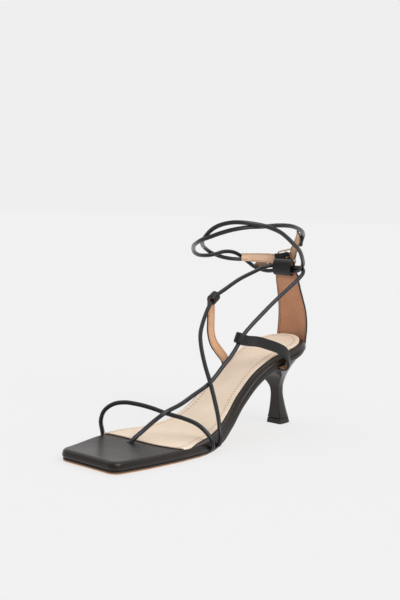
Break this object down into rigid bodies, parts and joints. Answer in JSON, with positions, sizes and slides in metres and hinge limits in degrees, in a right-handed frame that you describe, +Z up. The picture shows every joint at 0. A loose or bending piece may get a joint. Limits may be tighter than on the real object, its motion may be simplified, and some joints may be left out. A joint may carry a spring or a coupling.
{
  "type": "high heel sandal",
  "caption": "Left strappy sandal with a square toe, round cords that cross over the foot and wrap the ankle, a buckled ankle strap and a flared mid heel.",
  "frame": {"origin": "middle of the box round the shoe, at the floor it stands on", "axes": "+Z up from the floor, +Y from the toe towards the heel, +X towards the outer side of a left foot"},
  "size_m": [0.0838, 0.238, 0.1655],
  "materials": {
    "sole_leather": "dyed black edge over a tan leather sole",
    "wrap_leather": "smooth black leather, satin",
    "sock_leather": "beige, matt, with rows of stitches",
    "heel_cover": "smooth black leather, satin",
    "top_piece": "black, matt",
    "cord_leather": "black rolled leather, satin",
    "strap_leather": "black leather with a tan lining",
    "gold_metal": "pale gold, polished"
  },
  "bodies": {
    "root": {"outsole": "sole_leather", "footbed": "wrap_leather", "insole": "sock_leather", "heel": "heel_cover", "heel_top_piece": "top_piece", "crossed_cords": "cord_leather", "medial_loop_strap": "strap_leather", "lateral_loop_strap": "strap_leather", "heel_counter": "strap_leather", "buckle_strap": "strap_leather", "hole_strap": "strap_leather", "buckle_frame": "gold_metal", "buckle_prong": "gold_metal"}
  },
  "joints": []
}
